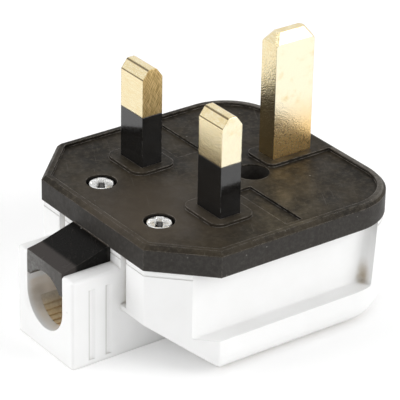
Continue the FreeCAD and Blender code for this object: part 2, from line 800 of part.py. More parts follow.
def make_live_pin():
    """The live pin with a flat head that carries one clip of the fuse."""
    body = make_line_pin("live_pin", "-")
    head = new_sketch(body, "XY_Plane", PARTING)
    rectangle(head, *line_head_box())
    pad(head, "live_head_depth", flipped=True)
    return body


def make_earth_pin():
    """The long earth pin with its tapered tip and its wire terminal."""
    body = new_body("earth_pin")
    body.setExpression("Placement.Base.y", "Sizes.earth_reach")
    half_x = "earth_pin_thickness / 2"
    half_y = "earth_pin_width / 2"
    shank = new_sketch(body, "XY_Plane", PARTING)
    rectangle(shank, f"-{half_x}", half_x, f"-{half_y}", half_y)
    pad(shank, "plate_depth + earth_pin_length - earth_tip_height")
    shoulder = new_sketch(body, "XY_Plane", "body_depth + earth_pin_length - earth_tip_height")
    rectangle(shoulder, f"-{half_x}", half_x, f"-{half_y}", half_y)
    top = new_sketch(body, "XY_Plane", "body_depth + earth_pin_length")
    top_x = f"({half_x} - earth_tip_inset_x)"
    top_y = f"({half_y} - earth_tip_inset_y)"
    rectangle(top, f"-{top_x}", top_x, f"-{top_y}", top_y)
    tip = body.newObject("PartDesign::AdditiveLoft", "earth_pin_tip")
    tip.Profile = shoulder
    tip.Sections = [top]
    tip.Ruled = True
    doc.recompute()

    def tip_corner(edge):
        bounds = edge.BoundBox
        slanted = bounds.XLength > TOLERANCE and bounds.YLength > TOLERANCE
        return slanted and bounds.ZLength > TOLERANCE

    dress("Chamfer", body, "earth_tip_facet", tip_corner)
    reach = "(earth_pin_thickness / 2 + terminal_margin)"
    add_terminal(body, f"-{reach}", reach, f"-{EARTH_TERMINAL_HALF}", EARTH_TERMINAL_HALF, "YZ_Plane")
    return body


def make_sleeve(label, side):
    """The insulating sleeve that fills a line pin's neck flush with the bare metal."""
    body = new_body(label)
    body.setExpression("Placement.Base.x", bound(f"{side}{PIN_X}"))
    ring = new_sketch(body, "XY_Plane", "body_depth - sleeve_sink")
    half_x = "line_pin_width / 2"
    half_y = "line_pin_thickness / 2"
    for inset in ("0", "sleeve_wall"):
        low = f"({half_x} - {inset})"
        deep = f"({half_y} - {inset})"
        rectangle(ring, f"-{low}", low, f"-{deep}", deep)
    pad(ring, "sleeve_length + sleeve_sink")
    return body


def make_live_terminal():
    """The live terminal: a plate over the far end of the fuse with the wire block beyond it."""
    body = new_body("live_terminal")
    body.setExpression("Placement.Base.x", bound(f"-{PIN_X}"))
    low_x, high_x = line_head_box()[:2]
    plate = new_sketch(body, "XY_Plane", PARTING)
    rectangle(plate, low_x, high_x, f"{FUSE_END} - fuse_cap_length", LIVE_POST_START)
    pad(plate, "live_head_depth", flipped=True)
    narrow = "line_pin_width / 2"
    post_end = f"{LIVE_POST_START} + live_post_depth"
    add_terminal(body, f"-{narrow}", narrow, LIVE_POST_START, post_end, "YZ_Plane")
    return body


def make_fuse_clip(label, centre):
    """A springy clip, open towards the back, that grips one cap of the fuse."""
    body = new_body(label)
    body.setExpression("Placement.Base.x", bound(f"-{PIN_X}"))
    inner = "(fuse_diameter / 2 + fuse_fit)"
    outer = f"({inner} + clip_thickness)"
    foot = f"{FUSE_AXIS} - clip_reach"
    profile = new_sketch(body, "XZ_Plane", centre)
    corners = [
        (outer, LIVE_HEAD_FOOT),
        (outer, foot),
        (inner, foot),
        (inner, f"{LIVE_HEAD_FOOT} - clip_thickness"),
        (f"-{inner}", f"{LIVE_HEAD_FOOT} - clip_thickness"),
        (f"-{inner}", foot),
        (f"-{outer}", foot),
        (f"-{outer}", LIVE_HEAD_FOOT),
    ]
    polygon(profile, corners)
    pad(profile, "clip_length", symmetric=True)
    return body


def make_fuse():
    """The cartridge fuse: a ceramic barrel between two metal caps."""
    bore = "fuse_diameter - 2 * fuse_cap_wall"
    barrel = new_body("fuse_barrel")
    barrel.setExpression("Placement.Base.x", bound(f"-{PIN_X}"))
    section = new_sketch(barrel, "XZ_Plane", f"{FUSE_START} + fuse_cap_wall")
    circle(section, "0", FUSE_AXIS, f"{bore} - 2 * fuse_fit")
    pad(section, "fuse_length - 2 * fuse_cap_wall", flipped=True)
    caps = []
    ends = (("fuse_cap_pin_side", FUSE_START, True), ("fuse_cap_terminal_side", FUSE_END, False))
    for label, end, forward in ends:
        cap = new_body(label)
        cap.setExpression("Placement.Base.x", bound(f"-{PIN_X}"))
        disc = new_sketch(cap, "XZ_Plane", end)
        circle(disc, "0", FUSE_AXIS, "fuse_diameter")
        pad(disc, "fuse_cap_length", flipped=forward)
        step = "fuse_cap_length" if forward else "-fuse_cap_length"
        mouth = new_sketch(cap, "XZ_Plane", f"{end} + {step}")
        circle(mouth, "0", FUSE_AXIS, bore)
        pocket(mouth, "fuse_cap_length - fuse_cap_wall", flipped=forward)
        caps.append(cap)
    return [barrel, *caps]


def make_grip_bar():
    """The bar that clamps the cord, bent down in the middle to clear it."""
    body = new_body("cord_grip_bar")
    profile = new_sketch(body, "XZ_Plane", "-grip_screw_y")
    end = "(grip_screw_x + grip_bar_end)"
    top = f"{GRIP_BAR_FOOT} + grip_bar_thickness"
    dip = "grip_saddle_width"
    inner = "(grip_saddle_width - grip_bar_thickness / 2)"
    inner_dip = "(grip_dip_half - grip_bar_thickness / 2)"
    dip_top = "grip_saddle_floor + grip_bar_thickness / 2"
    corners = [
        (end, GRIP_BAR_FOOT),
        (end, top),
        (inner, top),
        (inner_dip, dip_top),
        (f"-{inner_dip}", dip_top),
        (f"-{inner}", top),
        (f"-{end}", top),
        (f"-{end}", GRIP_BAR_FOOT),
        (f"-{dip}", GRIP_BAR_FOOT),
        ("-grip_dip_half", "grip_saddle_floor"),
        ("grip_dip_half", "grip_saddle_floor"),
        (dip, GRIP_BAR_FOOT),
    ]
    polygon(profile, corners)
    pad(profile, "grip_bar_width", symmetric=True)
    holes = new_sketch(body, "XY_Plane", top)
    for sign in ("", "-"):
        circle(holes, f"{sign}grip_screw_x", "-grip_screw_y", "grip_shank + 2 * screw_clearance")
    pocket(holes, "grip_bar_thickness")
    return body


def make_grip_screw(sign):
    """A pan-head screw with a cross recess."""
    x, y = f"{sign}grip_screw_x", "-grip_screw_y"
    seat = f"({GRIP_HEAD_TOP} - grip_head_height)"
    head = cylinder("grip_head", x, y, seat, GRIP_HEAD_TOP)
    shank = cylinder("grip_shank", x, y, GRIP_BAR_FOOT, seat)
    low = f"{GRIP_HEAD_TOP} - cross_depth"
    arms = [
        block(x, y, "cross_length", "cross_width", low, GRIP_HEAD_TOP),
        block(x, y, "cross_width", "cross_length", low, GRIP_HEAD_TOP),
    ]
    return cut(fuse(head, shank), *arms)


def make_terminal_screw(x, y):
    """A slotted screw that reaches up into the wire hole from the back."""
    head_foot = f"({TERMINAL_FOOT} - terminal_head_height)"
    head = cylinder("terminal_head", x, y, head_foot, TERMINAL_FOOT)
    tip = f"{PARTING} - wire_hole_drop - terminal_screw_gap"
    shank = cylinder("terminal_screw", x, y, TERMINAL_FOOT, tip)
    slot = block(x, y, "2 * terminal_head", "slot_width", head_foot, f"{head_foot} + slot_depth")
    return cut(fuse(head, shank), slot)


def make_cover_screw():
    """The slotted screw that holds the cover to the base."""
    x, y = "cover_screw_x", COVER_SCREW_Y
    head_top = "screw_seat + cover_screw_head_height"
    head = cylinder("cover_screw_head", x, y, "screw_seat", head_top)
    shank = cylinder("cover_screw_shank", x, y, "cover_screw_tip", "screw_seat")
    slot = block(x, y, "2 * cover_screw_head", "slot_width", f"{head_top} - slot_depth", head_top)
    screw = cut(fuse(head, shank), slot)
    screw.Label = "cover_screw"
    return screw


def make_ring(label, diameter, low, high):
    """A ring round the cover screw, with room for its shank."""
    x, y = "cover_screw_x", COVER_SCREW_Y
    hole = "cover_screw_shank + 2 * screw_clearance"
    ring = cut(cylinder(diameter, x, y, low, high), cylinder(hole, x, y, low, high))
    ring.Label = label
    return ring


def make_parts():
    retainer_top = "screw_tube_end + retainer_thickness"
    insert_top = "screw_tube_end - boss_gap"
    terminals = [(PIN_X, "0"), ("0", "earth_reach"), (f"-{PIN_X}", LIVE_POST_MIDDLE)]
    return [
        make_base(),
        make_cover(),
        make_outlet_liner(),
        make_earth_pin(),
        make_neutral_pin(),
        make_live_pin(),
        make_sleeve("neutral_sleeve", ""),
        make_sleeve("live_sleeve", "-"),
        make_live_terminal(),
        make_fuse_clip("pin_fuse_clip", "0"),
        make_fuse_clip("terminal_fuse_clip", f"{FUSE_END} - fuse_cap_length / 2"),
        *make_fuse(),
        make_grip_bar(),
        group("cord_grip_screws", [make_grip_screw(sign) for sign in ("", "-")]),
        group("terminal_screws", [make_terminal_screw(x, y) for x, y in terminals]),
        make_cover_screw(),
        make_ring("screw_retainer", "retainer_diameter", "screw_tube_end", retainer_top),
        make_ring("cover_insert", "insert_diameter", f"{insert_top} - insert_length", insert_top),
    ]


parts = make_parts()
doc.recompute()
failed = [item.Name for item in doc.Objects if "Invalid" in item.State or "Error" in item.State]
if failed:
    raise RuntimeError(f"failed objects: {failed}")
for part in parts:
    if part.Shape.isNull() or not part.Shape.isValid():
        raise RuntimeError(f"bad shape: {part.Label}")
os.makedirs("parts", exist_ok=True)
for part in parts:
    part.Shape.exportStep(f"parts/{part.Label}.step")
    print(part.Label, len(part.Shape.Solids), round(part.Shape.Volume, 2))
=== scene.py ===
import math

import bmesh
import bpy
from mathutils import Euler, Matrix, Vector


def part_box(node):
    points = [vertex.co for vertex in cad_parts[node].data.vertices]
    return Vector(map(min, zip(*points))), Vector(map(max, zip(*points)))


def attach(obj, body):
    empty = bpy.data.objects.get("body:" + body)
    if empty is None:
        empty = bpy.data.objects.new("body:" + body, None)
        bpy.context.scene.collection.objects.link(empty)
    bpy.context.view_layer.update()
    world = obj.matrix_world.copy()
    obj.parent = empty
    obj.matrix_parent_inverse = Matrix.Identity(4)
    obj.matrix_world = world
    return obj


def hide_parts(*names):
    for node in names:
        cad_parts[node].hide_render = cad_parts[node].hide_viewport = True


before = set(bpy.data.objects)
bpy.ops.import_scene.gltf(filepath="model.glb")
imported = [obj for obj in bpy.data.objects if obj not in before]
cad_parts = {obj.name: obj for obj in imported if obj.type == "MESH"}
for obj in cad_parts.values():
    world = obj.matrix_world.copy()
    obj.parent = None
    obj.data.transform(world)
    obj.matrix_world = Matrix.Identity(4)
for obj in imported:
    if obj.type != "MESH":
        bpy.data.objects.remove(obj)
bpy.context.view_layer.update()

MM = 0.001

# Places on the base, in millimetres
PLATE_TOP = 23.4
RIM_INNER_TOP = 22.6
LINE_PAD_REACH = 17.0
LINE_PAD_HALF = 4.4
EARTH_PAD_HALF = 3.8
HANDLED_SHEEN_SPOT = (5.0, -9.0, 22.9)
HANDLED_SHEEN_REACH = 18.0
HANDLED_SHEEN_CORE = 3.0
RUBBED_LIT_START = 19.0
RUBBED_LIT_FULL = 29.0
TONGUE_START = -17.85
TONGUE_LIP = -24.1
TONGUE_SHADE_START = -3.0
TONGUE_SHADE_FULL = 3.5

# Places on the cover, in millimetres
OUTLET_AXIS = (0, 0, 9.4)
OUTLET_RADIUS = 5.25
OUTLET_END = -26.8
OUTLET_INNER = -15.0
OUTLET_SHOULDER = -17.5
OUTLET_DARK_PATCH = (-5.0, -25.0, 7.6)
FINGER_RECESS_CORNER = (20.9, 23.4, 7.0)
LINER_FOOT = 4.6
LINER_TOP = 7.4

# Painted shade lines at the line pins' top bevel, below their tops, and the height over which tarnish and
# painted shade fade, in millimetres
UPPER_BEVEL_SHADE = 0.14
LOWER_BEVEL_SHADE = 1.62
TARNISH_SHADE_FADE = 10.0

# Heads of the cord-grip screws: millimetres, counts, and shares of the radius, first in each pair
SCREW_SIDES = 96
SCREW_HEAD_CLEARANCE = 0.08
SCREW_HEAD_DEPTH = 1.8
SCREW_DOME = 0.28
SCREW_DOME_STEPS = 36
SCREW_RIM = ((0.955, 0.31), (0.985, 0.40), (1.0, 0.55))
SCREW_TOP_END = 0.45
SCREW_UNDER_EDGE = 0.08
SCREW_UNDER_SHARE = 0.97

# Shanks of the screws: millimetres, shares of the shank's radius, and counts of rings
SCREW_SHANK = 1.5
NECK_SHARE = 0.9
NECK_DROP = 0.1
THREAD_PITCH = 0.5
THREAD_STEPS = 6
THREAD_START = 0.2
THREAD_ROOT = 0.82
THREAD_RISE = 0.17
TIP_SHARE = 0.6
TIP_DROP = 0.05
TIP_RINGS = 2

# Cross recesses of the screws: millimetres, a taper as a share of the depth, and turns in radians by side
CROSS_REACH = 1.82
CROSS_HALF = 0.68
CROSS_DEPTH = 1.65
CROSS_TAPER = 0.4
CROSS_WALL_OUTER = -0.05
CROSS_WALL_INNER = 0.32
# Depths below the head's top where the recess's painted shade starts and is full
CROSS_SHADE_START = 0.85
CROSS_SHADE_FULL = 1.1
CROSS_TURNS = {1: 0.90, -1: 0.97}

# The camera stands where the photograph was taken: angles in degrees, lengths in millimetres
CAMERA_AZIMUTH = 53.465
CAMERA_ELEVATION = 27.511
CAMERA_ROLL = -1.176
CAMERA_DISTANCE = 387.24
CAMERA_TARGET = (24.69, -13.87, 34.81)
LENS = 225.18
SENSOR = 36.0

# Studio: the floor in metres, levels times white, heights and sides as parts of a unit direction
WHITE = (1, 1, 1, 1)
FLOOR_SIZE = 2.4
FLOOR_COLOUR = (0.93, 0.93, 0.93, 1)
FLOOR_LIFT = 0.14
WALL_LEVEL = 0.94
WALL_TOP = 0.60
WALL_DIM = 0.10
WALL_DIM_SIDE = (0.71, -0.71, 0.0)
WALL_DIM_START = 0.45
WALL_DIM_FULL = 0.9
CEILING_LEVEL = 0.22
CEILING_START = 0.72

# Each lamp's place and size in metres, power in watts, and whether shiny faces show it
LAMP_AIM = (0.02, 0.02, 0.02)
LAMPS = {
    "overhead": ((-0.10, -0.10, 0.80), 0.8, 2.6, True),
    "back_right": ((0.55, 0.40, 0.35), 0.5, 2.2, True),
    "front_left": ((-0.40, -0.65, 0.20), 0.5, 1.65, False),
}

# Colours of the base, in linear light like all below
BASE_BLACK = (0.0130, 0.0107, 0.0074, 1)
BASE_BROWN = (0.0350, 0.0272, 0.0165, 1)
# Handled spot: handling wear with a painted sheen
BASE_HANDLED_SHEEN = (0.076, 0.060, 0.044, 1)
BASE_MOTTLE = (0.066, 0.054, 0.038, 1)
BASE_SIDE_DARK = (0.033, 0.030, 0.027, 1)
BASE_SIDE_PALE = (0.051, 0.047, 0.042, 1)
# Rubbed rim: wear, and a painted highlight
BASE_RUBBED_HIGHLIGHT = (0.150, 0.138, 0.122, 1)
# Painted shade in the base's hollows
BASE_HOLLOW_SHADE = (0.004, 0.0035, 0.003, 1)
BASE_SCUFF = (0.050, 0.042, 0.035, 1)
BASE_HAIRLINE = (0.085, 0.075, 0.065, 1)
# Worn edges: wear, and painted glints
BASE_WORN_EDGE_GLINT = (0.21, 0.19, 0.17, 1)
BASE_DUST = (0.42, 0.40, 0.37, 1)
# Tongue: top painted darker as shade, lip painted grey as a reflection, end painted paler as a sheen
TONGUE_SHADED_BLACK = (0.0055, 0.0050, 0.0044, 1)
TONGUE_LIP_REFLECTION = (0.049, 0.043, 0.040, 1)
TONGUE_END_SHEEN_DARK = (0.106, 0.101, 0.095, 1)
TONGUE_END_SHEEN_PALE = (0.164, 0.162, 0.156, 1)
TONGUE_END_SHADE = (0.078, 0.073, 0.068, 1)

# Colours of the cover and its liner
COVER_DULL = (0.895, 0.895, 0.888, 1)
COVER_WHITE = (0.920, 0.920, 0.917, 1)
# Inside the outlet: a stain, and painted warm shade
COVER_STAIN_AND_SHADE = (0.88, 0.80, 0.70, 1)
# A dark patch on the outlet's inner wall near its mouth
COVER_DARK_PATCH = (0.28, 0.24, 0.20, 1)
# Grime, and painted shade, in hollows and the finger recess's corners
COVER_GRIME_AND_SHADE = (0.42, 0.34, 0.23, 1)
# Painted shade in nooks
COVER_NOOK_SHADE = (0.58, 0.57, 0.54, 1)
# Painted shade on the outlet's groove flanks
COVER_FLANK_SHADE = (0.64, 0.63, 0.61, 1)
COVER_SPECK = (0.42, 0.39, 0.35, 1)
LINER_TAN_DARK = (0.82, 0.61, 0.34, 1)
LINER_TAN_PALE = (0.90, 0.73, 0.46, 1)
# Painted shade on the liner's upper part
LINER_SHADE_DARK = (0.54, 0.48, 0.39, 1)
LINER_SHADE_PALE = (0.66, 0.60, 0.50, 1)

# Colours of the sleeves
SLEEVE_BLACK = (0.0065, 0.0062, 0.0060, 1)
SLEEVE_CHARCOAL = (0.0095, 0.0090, 0.0085, 1)
# Rubbed edges: wear, and painted highlights
SLEEVE_RUBBED_HIGHLIGHT = (0.20, 0.195, 0.185, 1)
SLEEVE_DUST = (0.30, 0.29, 0.27, 1)

# Colours of the metals, and the factors that shade them
PIN_BRASS = (0.97, 0.90, 0.68)
INNER_BRASS = (0.80, 0.64, 0.32)
BRASS_SHADE = (0.88, 0.77, 0.55)
# Tarnish, with painted shade, low on the pins
BRASS_TARNISH_SHADE = (0.98, 0.63, 0.23, 1)
BRASS_STAIN = (0.40, 0.30, 0.14, 1)
# Painted shade along the brass edges
BRASS_EDGE_SHADE = (0.34, 0.23, 0.09, 1)
# Painted shade lines at the top bevel's edges
BRASS_BEVEL_SHADE = (0.13, 0.080, 0.028, 1)
SAWN_PALE = (0.93, 0.71, 0.35, 1)
SAWN_DARK = (0.50, 0.31, 0.10, 1)
ZINC = (0.82, 0.82, 0.83)
SCREW_ZINC = (0.96, 0.96, 0.95)
NICKEL = (0.80, 0.79, 0.76)
PLATED_SHADE = 0.82
# Painted shade in the plating's hollows
PLATED_HOLLOW_SHADE = (0.03, 0.028, 0.026, 1)

# Colours of the fibre and ceramic pieces
FIBRE_DARK = (0.40, 0.30, 0.18, 1)
FIBRE_PALE = (0.52, 0.42, 0.28, 1)
CERAMIC_DARK = (0.74, 0.71, 0.63, 1)
CERAMIC_PALE = (0.80, 0.78, 0.72, 1)


def feed(tree, socket, value):
    """Links another node's output to an input, or sets the input's value."""
    if isinstance(value, bpy.types.NodeSocket):
        tree.links.new(value, socket)
    else:
        socket.default_value = value


def add_node(tree, kind, inputs=None, **settings):
    """A shader node whose inputs are values or the output sockets of other nodes."""
    node = tree.nodes.new(f"ShaderNode{kind}")
    for name, value in settings.items():
        setattr(node, name, value)
    for name, value in (inputs or {}).items():
        feed(tree, node.inputs[name], value)
    return node


def new_material(name):
    """An empty material with a Principled shader."""
    material = bpy.data.materials.new(name)
    material.use_nodes = True
    return material, material.node_tree, material.node_tree.nodes["Principled BSDF"]


def set_shader(tree, shader, **inputs):
    """Feeds the shader's inputs, named with underscores for spaces."""
    for name, value in inputs.items():
        feed(tree, shader.inputs[name.replace("_", " ")], value)


def maths(tree, operation, *values):
    """The result of one operation on numbers."""
    node = add_node(tree, "Math", operation=operation)
    for socket, value in zip(node.inputs, values):
        feed(tree, socket, value)
    return node.outputs[0]


def times(tree, *values):
    """The product of values."""
    product = values[0]
    for value in values[1:]:
        product = maths(tree, "MULTIPLY", product, value)
    return product


def add_scaled(tree, value, factor, base):
    """A base value plus another value times a factor."""
    return maths(tree, "MULTIPLY_ADD", value, factor, base)


def vector_maths(tree, operation, *values):
    """The node for one operation on vectors."""
    return add_node(tree, "VectorMath", dict(enumerate(values)), operation=operation)


def remap(tree, value, low, high, to_low=0.0, to_high=1.0):
    """A value between two limits as a smooth step between two others."""
    inputs = {"Value": value, "From Min": low, "From Max": high, "To Min": to_low, "To Max": to_high}
    return add_node(tree, "MapRange", inputs, interpolation_type="SMOOTHSTEP").outputs["Result"]


def past(tree, value, edge, soft):
    """0 before an edge and 1 past it, softened either way; a negative softness turns it round."""
    return remap(tree, value, edge - soft, edge + soft)


def blend(tree, factor, first, second):
    """A mix of two colours."""
    node = add_node(tree, "Mix", data_type="RGBA")
    feed(tree, node.inputs[0], factor)
    feed(tree, node.inputs[6], first)
    feed(tree, node.inputs[7], second)
    return node.outputs[2]


def position(tree, stretch=(1, 1, 1), turn=(0, 0, 0)):
    """The place on the surface in millimetres, turned (degrees) and then stretched."""
    place = add_node(tree, "TexCoord").outputs["Object"]
    angles = [math.radians(angle) for angle in turn]
    turned = add_node(tree, "Mapping", {"Vector": place, "Rotation": angles}).outputs[0]
    scale = [factor / MM for factor in stretch]
    return add_node(tree, "Mapping", {"Vector": turned, "Scale": scale}).outputs[0]


def axis_of(tree, vector, axis):
    """One axis of a vector."""
    return add_node(tree, "SeparateXYZ", {0: vector}).outputs[axis]


def surface_normal(tree):
    """The direction that the surface faces."""
    return add_node(tree, "NewGeometry").outputs["Normal"]


def facing(tree, axis):
    """How far the surface faces along an axis, either way."""
    return maths(tree, "ABSOLUTE", axis_of(tree, surface_normal(tree), axis))


def distance(tree, place, point, stretch=(1, 1, 1)):
    """How far a place is from a point, with the axes stretched."""
    offset = vector_maths(tree, "SUBTRACT", place, point).outputs[0]
    drawn = vector_maths(tree, "MULTIPLY", offset, stretch).outputs[0]
    return vector_maths(tree, "LENGTH", drawn).outputs["Value"]


def mirrored(tree, place):
    """A place folded into the quarter where x and y are positive."""
    return vector_maths(tree, "ABSOLUTE", place).outputs[0]


def noise(tree, place, scale, detail=3.0, roughness=0.55):
    """A smooth random pattern, with a scale in lumps per millimetre."""
    inputs = {"Vector": place, "Scale": scale, "Detail": detail, "Roughness": roughness}
    return add_node(tree, "TexNoise", inputs).outputs["Fac"]


def specks(tree, place, scale, share, size):
    """Sparse small dots: the cells of a Voronoi pattern that a random number picks."""
    cells = add_node(tree, "TexVoronoi", {"Vector": place, "Scale": scale, "Randomness": 1.0})
    picked = add_node(tree, "SeparateColor", {"Color": cells.outputs["Color"]}).outputs[0]
    chosen = maths(tree, "GREATER_THAN", picked, 1.0 - share)
    return times(tree, chosen, remap(tree, cells.outputs["Distance"], size, size * 0.4))


def openness(tree, reach):
    """How open the surroundings are within a reach in millimetres, 1 on a flat face."""
    return add_node(tree, "AmbientOcclusion", {"Distance": reach * MM}, samples=8).outputs["AO"]


def rounded_normal(tree, radius):
    """The surface normal with edges rounded by a radius in millimetres."""
    return add_node(tree, "Bevel", {"Radius": radius * MM}, samples=6).outputs["Normal"]


def edge_mask(tree, radius, low, high):
    """A mask that is 1 along sharp edges, where a rounded normal leaves the true one."""
    rounded = rounded_normal(tree, radius)
    dot = vector_maths(tree, "DOT_PRODUCT", rounded, surface_normal(tree)).outputs["Value"]
    return remap(tree, maths(tree, "SUBTRACT", 1.0, dot), low, high)


def bump(tree, height, depth, radius):
    """A surface normal from a height field of a depth in millimetres, over edges rounded by a radius."""
    soft = rounded_normal(tree, radius)
    inputs = {"Height": height, "Distance": depth * MM, "Strength": 1.0, "Normal": soft}
    return add_node(tree, "Bump", inputs).outputs["Normal"]


def rim_mask(tree, place):
    """1 on the rim's top at the earth end, fading along it, and 0 on the pads and floor inside it; it
    carries rubbed wear and a painted highlight.
    """
    folded = mirrored(tree, place)
    sideways = axis_of(tree, folded, "X")
    lengthways = axis_of(tree, folded, "Y")
    along = axis_of(tree, place, "Y")
    soft = 0.2
    top = remap(tree, axis_of(tree, place, "Z"), PLATE_TOP - 0.35, PLATE_TOP - 0.2)
    beyond = past(tree, sideways, LINE_PAD_REACH, soft)
    clear_of_line_pads = maths(tree, "MAXIMUM", beyond, past(tree, lengthways, LINE_PAD_HALF, soft))
    aside = past(tree, sideways, EARTH_PAD_HALF, soft)
    clear_of_earth_pad = maths(tree, "MAXIMUM", aside, past(tree, along, 0.0, -soft))
    rubbed_and_lit = remap(tree, along, RUBBED_LIT_START, RUBBED_LIT_FULL, 0.04, 1.0)
    return times(tree, top, clear_of_line_pads, clear_of_earth_pad, rubbed_and_lit)


def base_body_colour(tree, place, mottle):
    """Black-brown, paler where it is handled with a painted sheen, with grey sides, a rim rubbed and
    painted with a highlight, and painted shade in its hollows.
    """
    clouds = remap(tree, noise(tree, place, scale=0.16, detail=4.0), 0.35, 0.68)
    colour = blend(tree, clouds, BASE_BLACK, BASE_BROWN)
    # A paler spot on the top: handling wear, and a painted sheen
    spot = distance(tree, place, HANDLED_SHEEN_SPOT)
    handled_sheen = remap(tree, spot, HANDLED_SHEEN_REACH, HANDLED_SHEEN_CORE, 0.0, 0.75)
    colour = blend(tree, handled_sheen, colour, BASE_HANDLED_SHEEN)
    colour = blend(tree, remap(tree, mottle, 0.44, 0.68, 0.0, 0.65), colour, BASE_MOTTLE)
    upright = remap(tree, facing(tree, "Z"), 0.75, 0.35)
    outer = times(tree, upright, past(tree, axis_of(tree, place, "Z"), RIM_INNER_TOP, -0.1))
    side = blend(tree, remap(tree, mottle, 0.4, 0.7), BASE_SIDE_DARK, BASE_SIDE_PALE)
    colour = blend(tree, outer, colour, side)
    # The rim's top is paler: rubbed wear, and a painted highlight
    rubbed_and_lit = times(tree, rim_mask(tree, place), remap(tree, mottle, 0.3, 0.6, 0.35, 0.85))
    colour = blend(tree, rubbed_and_lit, colour, BASE_RUBBED_HIGHLIGHT)
    # Painted shade: near black where the surroundings close in
    hollow_shade = remap(tree, openness(tree, reach=1.6), 0.72, 0.40, 0.0, 0.85)
    return blend(tree, hollow_shade, colour, BASE_HOLLOW_SHADE)


def tongue_colour(tree, place, mottle):
    """Black painted darker as shade from the plate above, a lip painted grey as a reflection, and an end
    painted paler as a sheen that painted shade darkens to one side.
    """
    along = axis_of(tree, place, "Y")
    # The top is painted darker as shade from the plate; the lip is painted grey, a painted reflection
    lip_reflection = remap(tree, along, TONGUE_LIP + 0.5, TONGUE_LIP - 0.3)
    top = blend(tree, lip_reflection, TONGUE_SHADED_BLACK, TONGUE_LIP_REFLECTION)
    # The end is painted paler, a painted sheen, and painted shade darkens it to one side
    end_sheen = blend(tree, remap(tree, mottle, 0.38, 0.62), TONGUE_END_SHEEN_DARK, TONGUE_END_SHEEN_PALE)
    shaded = remap(tree, axis_of(tree, place, "X"), TONGUE_SHADE_START, TONGUE_SHADE_FULL, 0.0, 0.9)
    end_sheen = blend(tree, shaded, end_sheen, TONGUE_END_SHADE)
    return blend(tree, remap(tree, facing(tree, "Y"), 0.8, 0.95), top, end_sheen)


def worn_base_colour(tree, place, colour, scuffs, tongue):
    """A colour with scuffs, dust, and hairlines and pale edges, worn and with painted glints, that are
    fainter on the tongue.
    """
    colour = blend(tree, times(tree, scuffs, 0.4), colour, BASE_SCUFF)
    kept = add_scaled(tree, tongue, -0.75, 0.9)
    slanted = position(tree, stretch=(0.1, 2.6, 1), turn=(0, 0, 28))
    hairs = noise(tree, slanted, scale=1.0, detail=5.0, roughness=0.6)
    hairlines = times(tree, remap(tree, hairs, 0.64, 0.70, 0.0, 0.55), kept)
    colour = blend(tree, hairlines, colour, BASE_HAIRLINE)
    # Pale edges: wear, and painted glints along them
    patches = remap(tree, noise(tree, place, scale=0.9), 0.32, 0.62)
    edges = edge_mask(tree, radius=0.28, low=0.015, high=0.13)
    colour = blend(tree, times(tree, edges, patches, kept), colour, BASE_WORN_EDGE_GLINT)
    coarse = specks(tree, place, scale=0.42, share=0.06, size=0.09)
    fine = specks(tree, place, scale=0.9, share=0.03, size=0.1)
    dust = maths(tree, "ADD", coarse, fine)
    return blend(tree, times(tree, dust, 0.35), colour, BASE_DUST)


def base_material():
    """Black-brown satin moulding with a glossier tongue."""
    material, tree, shader = new_material("base_moulding")
    place = position(tree)
    mottle = noise(tree, place, scale=1.3, detail=6.0, roughness=0.75)
    tongue = past(tree, axis_of(tree, place, "Y"), TONGUE_START, -0.1)
    body = base_body_colour(tree, place, mottle)
    colour = blend(tree, tongue, body, tongue_colour(tree, place, mottle))
    slanted = position(tree, stretch=(0.5, 1.5, 1), turn=(0, 0, 35))
    strokes = noise(tree, slanted, scale=0.55, detail=6.0, roughness=0.7)
    scuffs = remap(tree, strokes, 0.57, 0.74)
    colour = worn_base_colour(tree, place, colour, scuffs, tongue)
    grain = noise(tree, place, scale=5.0, detail=4.0, roughness=0.65)
    relief = add_scaled(tree, scuffs, 0.6, grain)
    rough = remap(tree, noise(tree, place, scale=0.3, detail=4.0), 0.3, 0.7, 0.44, 0.60)
    rough = add_scaled(tree, tongue, -0.28, rough)
    sheen = add_scaled(tree, tongue, -0.05, 0.14)
    set_shader(tree, shader, Base_Color=colour, Roughness=rough, Specular_IOR_Level=sheen)
    set_shader(tree, shader, Normal=bump(tree, relief, depth=0.012, radius=0.12))
    return material


def stained_shaded_cover_colour(tree, place, colour):
    """A colour with a warm stain and painted warm shade inside the cable outlet, and a dark patch at its
    mouth.
    """
    # Inside the outlet: a stain, and painted warm shade, streaked
    along = axis_of(tree, place, "Y")
    entered = remap(tree, along, OUTLET_END - 0.1, OUTLET_END + 1.4)
    inside = times(tree, entered, remap(tree, along, OUTLET_INNER + 1.0, OUTLET_INNER))
    bore = distance(tree, place, OUTLET_AXIS, stretch=(1, 0, 1))
    in_bore = remap(tree, bore, OUTLET_RADIUS + 0.25, OUTLET_RADIUS + 0.05)
    streaks = noise(tree, position(tree, stretch=(1, 0.4, 1)), scale=0.5, detail=4.0)
    streaked = remap(tree, streaks, 0.3, 0.7, 0.6, 1.0)
    colour = blend(tree, times(tree, inside, in_bore, streaked), colour, COVER_STAIN_AND_SHADE)
    # A darker patch on the outlet's inner wall near its mouth
    from_dark_patch = distance(tree, place, OUTLET_DARK_PATCH, stretch=(0.9, 1, 0.5))
    dark_patch = times(tree, remap(tree, from_dark_patch, 2.4, 0.4, 0.0, 0.5), streaked)
    return blend(tree, dark_patch, colour, COVER_DARK_PATCH)


